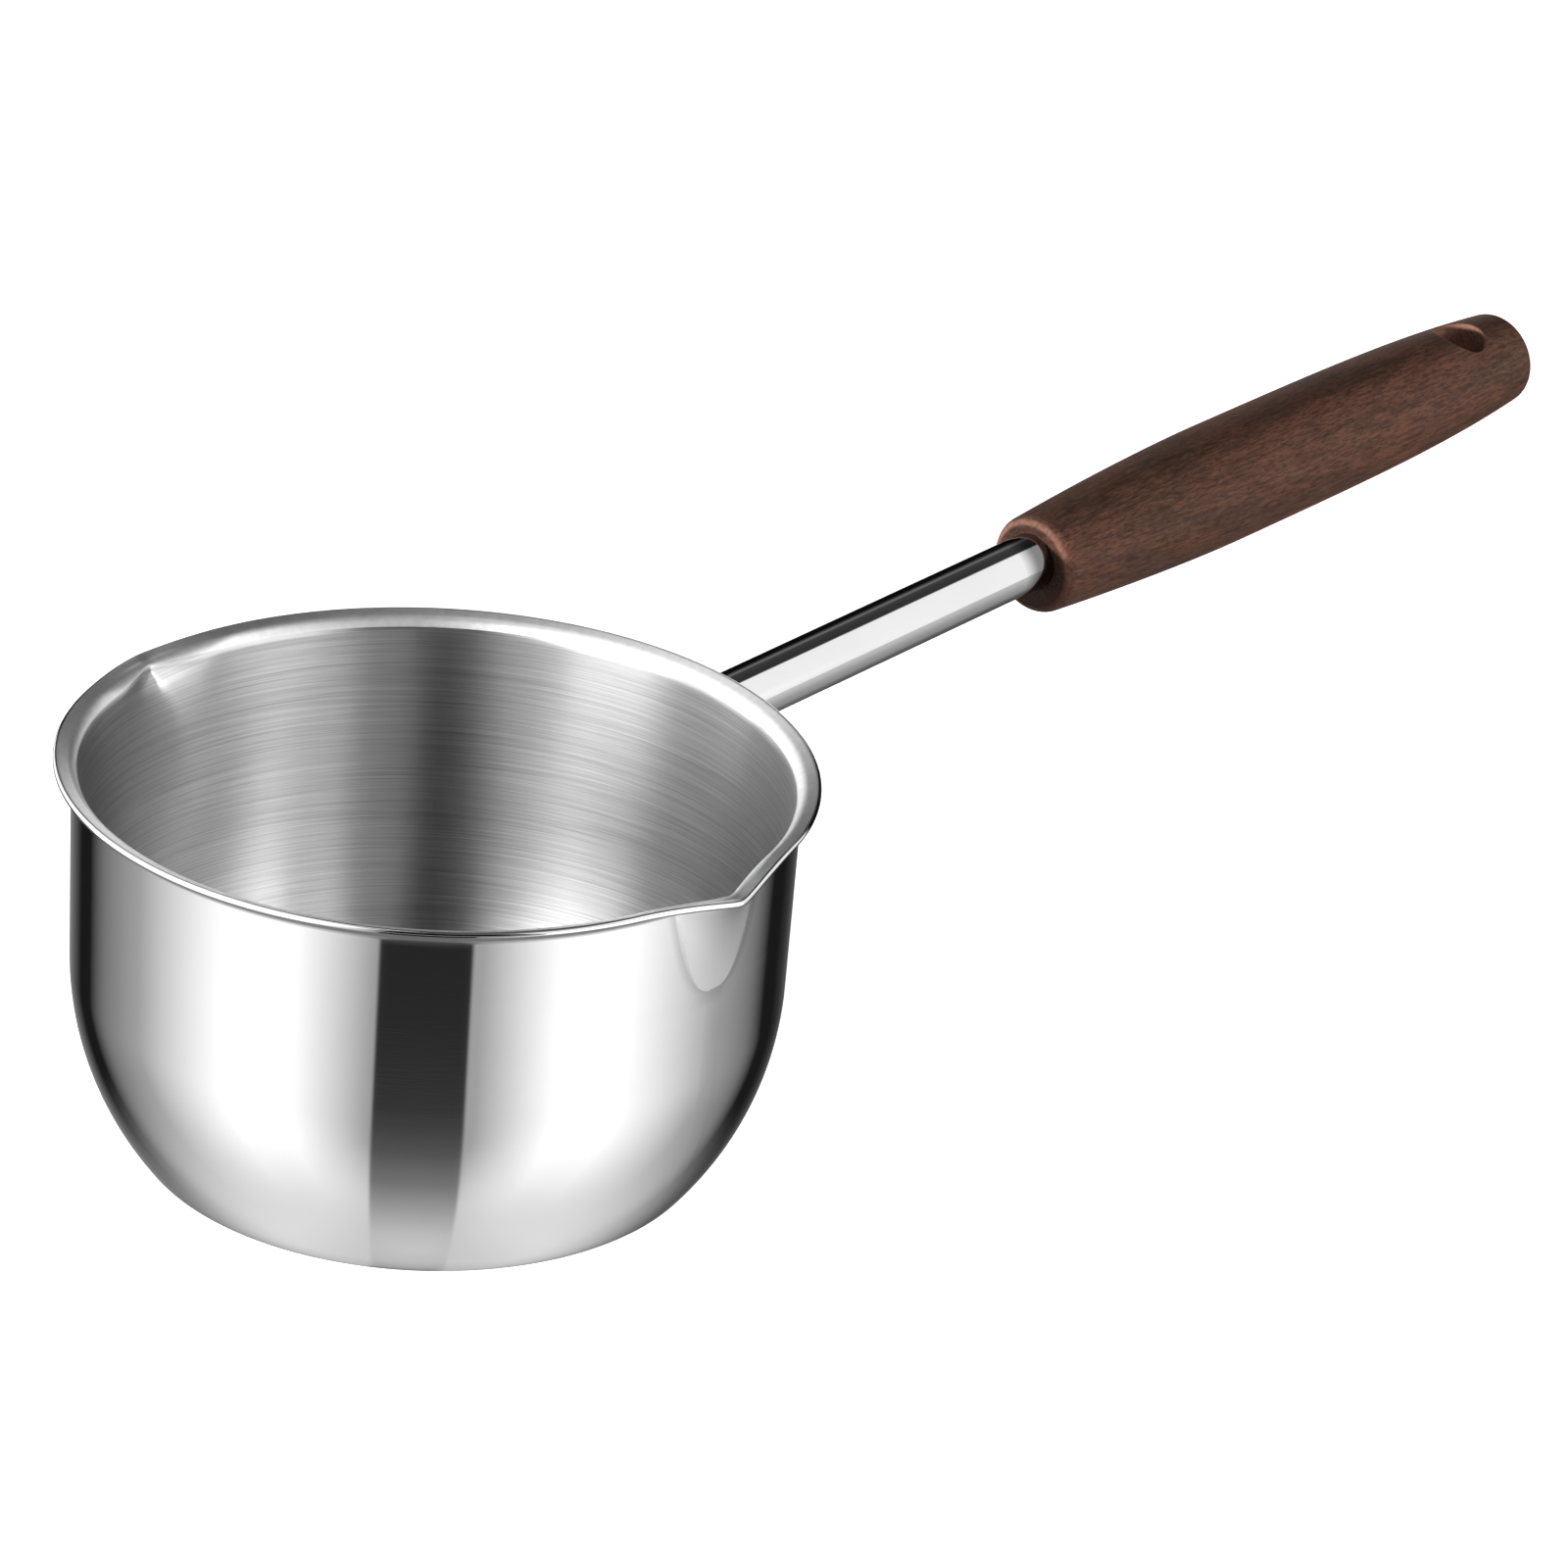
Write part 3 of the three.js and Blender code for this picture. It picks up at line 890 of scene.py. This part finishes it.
def wood_finish():
    """Dark stained hardwood: fine warm streaks along the grip and open pores, with painted shade along the
    top and painted light on the front shoulder and in the hole.
    """
    finish = Finish("stained_wood", Specular_IOR_Level=0.12)
    x, y, z = finish.split(finish.place)

    def grain(along, across, detail, rough=0.55):
        return finish.stretched_noise(finish.place, (along, across, across), detail, rough)

    drift = grain(along=40.0, across=160.0, detail=3.0)
    streak = grain(along=170.0, across=1700.0, detail=4.0, rough=0.65)
    pore = grain(along=650.0, across=3600.0, detail=2.0, rough=0.6)
    tone = finish.blend(streak, drift, share=0.7)
    red = finish.ramp(tone, (0.39, red_wood[0]), (0.61, red_wood[1]))
    brown = finish.ramp(tone, (0.39, brown_wood[0]), (0.61, brown_wood[1]))
    # Lighter wood, used as painted light on the front shoulder and in the hole.
    light_tone = finish.ramp(streak, (0.35, painted_light_wood[0]), (0.65, painted_light_wood[1]))
    colour = finish.mix(finish.ramp(drift, (0.34, 0), (0.66, 1)), brown, red)
    open_pores = finish.ramp(pore, (0.38, 0.5), (0.54, 1))
    colour = finish.mix(1.0, colour, open_pores, "MULTIPLY")

    front, tail = grip_place @ Vector((0, 0, 0)), grip_place @ Vector((grip_length, 0, 0))
    slope = (tail.z - front.z) / (tail.x - front.x)
    axis_height = finish.scaled(x, slope, front.z - slope * front.x)
    # Painted shade along the top of the grip: the colour is darkened in a band over the top, with a wandering
    # border.
    turn = finish.math("ARCTAN2", y, finish.math("SUBTRACT", z, axis_height))
    wander = grain(along=70.0, across=500.0, detail=3.0)
    shade_border = finish.math("ADD", turn, finish.math("MULTIPLY", finish.math("SUBTRACT", wander, 0.5), 0.5))
    top_shade = finish.ramp(finish.scaled(shade_border, 0.5, 0.5), (0.22, 1), (0.38, 0.62), (0.82, 0.62), (0.98, 1))
    colour = finish.mix(1.0, colour, top_shade, "MULTIPLY")

    normal = finish.add("ShaderNodeNewGeometry").outputs["Normal"]
    facing = finish.vector("DOT_PRODUCT", normal, tuple((tail - front).normalized()))
    end_grain = finish.ramp(finish.math("ABSOLUTE", facing), (0.5, 1), (0.95, 0.52))
    colour = finish.mix(1.0, colour, end_grain, "MULTIPLY")
    middle, drilled = rolled @ Vector((hole_at, 0, 0)), rolled.to_3x3() @ Vector((0, 0, 1))
    off_middle = finish.vector("SUBTRACT", finish.place, tuple(middle))
    off_hole = finish.vector("LENGTH", finish.vector("CROSS_PRODUCT", off_middle, tuple(drilled)))
    # Painted light: the walls of the hanging hole take the lighter wood colour.
    hole_light = finish.ramp(finish.math("DIVIDE", off_hole, hole_radius * 2), (0.51, 1), (0.55, 0))
    colour = finish.mix(hole_light, colour, light_tone)
    # Painted highlight: a ring round the front shoulder takes the lighter wood colour.
    forward = finish.math("MULTIPLY", facing, -1.0)
    shoulder_light = finish.ramp(forward, (0.52, 0), (0.72, 0.75), (0.87, 0.75), (0.96, 0))
    colour = finish.mix(shoulder_light, colour, light_tone)
    finish.show("Base Color", colour)
    finish.show("Roughness", finish.spread(streak, low=0.45, high=0.62))
    relief = finish.blend(pore, streak, share=0.6)
    finish.show("Normal", finish.bump(relief, distance=0.08 * mm, strength=0.5))
    return finish.material


wood_grip = as_piece("turned_grip", grip_mesh, [wood_finish()])
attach(wood_grip, "root")
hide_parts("wood_grip")

# The studio is a white table under a tent of soft lights, with dark gaps between them for the steel to
# mirror. The table glows a little, so that it stays pale, and the steel mirrors the tent alone. Three lamps,
# which the steel doesn't mirror, light the wood and the table.
camera_place = Vector((-0.70415, -0.61819, 0.49851))
camera_forward = Vector((0.711174, 0.561087, -0.423579))
camera_right = Vector((0.642099, -0.763748, 0.066374))
camera_up = Vector((0.286266, 0.319183, 0.903424))
camera_data = bpy.data.cameras.new("studio_camera")
camera_data.sensor_width = 36
camera_data.lens = 166.88
camera_data.clip_start = 0.05
camera_data.clip_end = 20
camera = bpy.data.objects.new("studio_camera", camera_data)
camera_turn = Matrix((camera_right, camera_up, -camera_forward)).transposed().to_4x4()
camera.matrix_world = Matrix.Translation(camera_place) @ camera_turn
bpy.context.scene.collection.objects.link(camera)
bpy.context.scene.camera = camera

table_finish = Finish("lit_table", Roughness=0.9, Emission_Strength=0.8, Emission_Color=grey(1))
table_tint = table_finish.noise(table_finish.place, scale=6.0, detail=2.0)
table_finish.show("Base Color", table_finish.ramp(table_tint, (0.3, 0.84), (0.7, 0.88)))
table_mesh = bmesh.new()
bmesh.ops.create_grid(table_mesh, x_segments=8, y_segments=8, size=4)
studio_table = as_piece("studio_table", table_mesh, [table_finish.material])
studio_table.visible_glossy = False
studio_table.visible_diffuse = False

world = bpy.data.worlds.new("light_tent")
bpy.context.scene.world = world
world.use_nodes = True
tent = NodeSet(world.node_tree)
toward_camera = Vector((camera_place.x, camera_place.y, 0)).normalized()
toward_right = Vector((-toward_camera.y, toward_camera.x, 0))
direction = tent.add("ShaderNodeTexCoord").outputs["Generated"]
ahead = tent.vector("DOT_PRODUCT", direction, tuple(toward_camera))
aside = tent.vector("DOT_PRODUCT", direction, tuple(toward_right))
swing = tent.math("DIVIDE", tent.math("ARCTAN2", aside, ahead), math.pi)
bearing = tent.scaled(swing, 0.5, 0.5)
climb = tent.math("ADD", tent.math("DIVIDE", tent.math("ARCSINE", tent.split(direction)[2]), math.pi), 0.5)
display_power = 2.2


def light_for(shade):
    """Light that the bowl's steel has to mirror to show a shade on the screen."""
    return shade ** display_power / bowl_shade


def lights_round(*stops):
    """Lights by bearing, from behind the pan on the left, past the camera at 0, to behind it on the right."""
    return tent.ramp(bearing, *[(0.5 + angle / 360, light_for(shade)) for angle, shade in stops])


def lights_up(*stops):
    """Lights by elevation, from straight below the pan at -90 to straight above it at 90."""
    return tent.ramp(climb, *[(0.5 + angle / 180, light_for(shade)) for angle, shade in stops])


def soft_step(value, start, end, **levels):
    step = tent.add("ShaderNodeMapRange", {"interpolation_type": "SMOOTHSTEP"},
                    Value=value, From_Min=start, From_Max=end, **levels)
    return step.outputs[0]


def between(low, high):
    """Rises from 0 at one elevation in degrees to 1 at another."""
    return soft_step(climb, 0.5 + low / 180, 0.5 + high / 180)


def within(value, edge, blur):
    """1 where a value is nearer to 0 than an edge, with a soft border."""
    return soft_step(tent.math("ABSOLUTE", value), edge - blur, edge + blur, To_Min=1.0, To_Max=0.0)


def about(middle, reach, blur):
    """1 at the bearings within so many degrees of a middle one, with a soft border."""
    return within(tent.math("SUBTRACT", swing, middle / 180), reach / 180, blur / 180)


side_cloths = lights_round(
    (-180, 0.62), (180, 0.62), (-164, 0.42), (-148, 0.12), (-138, 0.12), (-126, 0.45), (-105, 0.62),
    (-66, 1.04), (-44, 1.04), (-17, 0.62), (17, 0.62), (44, 1.04), (66, 1.04), (105, 0.62), (126, 0.45),
    (138, 0.12), (148, 0.12), (157, 0.2), (168, 0.32))
table_glow = tent.ramp(tent.math("ABSOLUTE", aside), (0.08, 0.7), (1.0, 0.82), (0.34, 0.88), ease=True)
below = tent.mix(between(low=-70, high=-34), table_glow, side_cloths)
camera_gap = lights_up(
    (-90, 0.77), (90, 0.16), (-80, 0.73), (-67, 0.6), (-55, 0.45), (-42, 0.33), (-30.2, 0.25), (-29.2, 0.16))
gap_shift = 0.012
gap_middle_width = 0.1135
gap_widening = 0.129
gap_least_width = 0.001
gap_width = tent.math("MAXIMUM", tent.scaled(ahead, gap_widening, gap_middle_width), gap_least_width)
gap_place = tent.math("DIVIDE", tent.math("ADD", aside, gap_shift), gap_width)
below = tent.mix(within(gap_place, edge=1.0, blur=0.05), below, camera_gap)

behind = lights_up(
    (-90, 0.1), (90, 0.3), (0, 0.06), (20, 0.08), (27, 0.3), (31, 0.42), (36, 0.24), (46, 0.2), (54, 0.2),
    (66, 0.2), (76, 0.2))
soft_boxes = lights_round(
    (-180, 0.9), (180, 0.9), (-118, 1.85), (-102, 1.65), (-90, 1.35), (-80, 1.5), (-66, 2.4), (-44, 2.05),
    (-30, 1.2), (-13, 0.02), (32, 0.02), (35, 1.8), (50, 1.9), (68, 1.85), (86, 1.8), (93, 0.93), (128, 0.92))
above = tent.mix(about(middle=4, reach=130, blur=3), behind, soft_boxes)
right_top = tent.math("MULTIPLY", about(middle=57, reach=26, blur=4), between(low=4, high=16))
above = tent.mix(right_top, above, grey(0.95))
overhead = tent.ramp(
    tent.scaled(aside, 0.5, 0.5), (0.25, 0.75), (0.75, 0.16), (0.42, 0.26), (0.5, 0.08), (0.6, 0.18))
above = tent.mix(between(low=52, high=68), above, overhead)
rear_band = tent.math("SUBTRACT", between(low=26, high=40), between(low=56, high=64))
rear_corner = tent.math("MULTIPLY", about(middle=-147, reach=19, blur=4), rear_band)
rear_box = tent.math("MAXIMUM", about(middle=-136, reach=22, blur=3), rear_corner)
above = tent.mix(rear_box, above, grey(1.25))
card_band = tent.math("SUBTRACT", 1.0, between(low=12, high=18))
low_card = tent.math("MULTIPLY", about(middle=172, reach=6, blur=3), card_band)
above = tent.mix(low_card, above, grey(1.3))

around = tent.mix(between(low=-13, high=-11), below, above)
strip_band = within(tent.math("SUBTRACT", climb, 0.5 + 8 / 180), edge=5 / 180, blur=1 / 180)
front_strip = tent.math("MULTIPLY", about(middle=0, reach=40, blur=4), strip_band)
around = tent.mix(front_strip, around, grey(0.6))
surround = next(node for node in tent.nodes if node.type == "BACKGROUND")
tent.feed(surround, "Color", around)
tent.feed(surround, "Strength", 1.0)
world.cycles_visibility.diffuse = False


def soft_lamp(name, around, up, spread, strength):
    """A soft lamp on the wood and the table, at a bearing from the camera. The steel doesn't mirror it."""
    light = bpy.data.lights.new(name, "SUN")
    light.energy = strength
    light.angle = math.radians(spread)
    lamp = bpy.data.objects.new(name, light)
    level = toward_camera * math.cos(math.radians(around)) + toward_right * math.sin(math.radians(around))
    toward = level * math.cos(math.radians(up)) + Vector((0, 0, math.sin(math.radians(up))))
    lamp.rotation_euler = toward.to_track_quat("Z", "Y").to_euler()
    lamp.visible_glossy = False
    bpy.context.scene.collection.objects.link(lamp)


soft_lamp("right_key", around=64, up=12, spread=30, strength=2.6)
soft_lamp("left_key", around=-60, up=6, spread=5, strength=8.5)
soft_lamp("front_fill", around=10, up=40, spread=30, strength=0.7)

bpy.context.scene.view_settings.view_transform = "Standard"
bpy.context.scene.view_settings.look = "None"
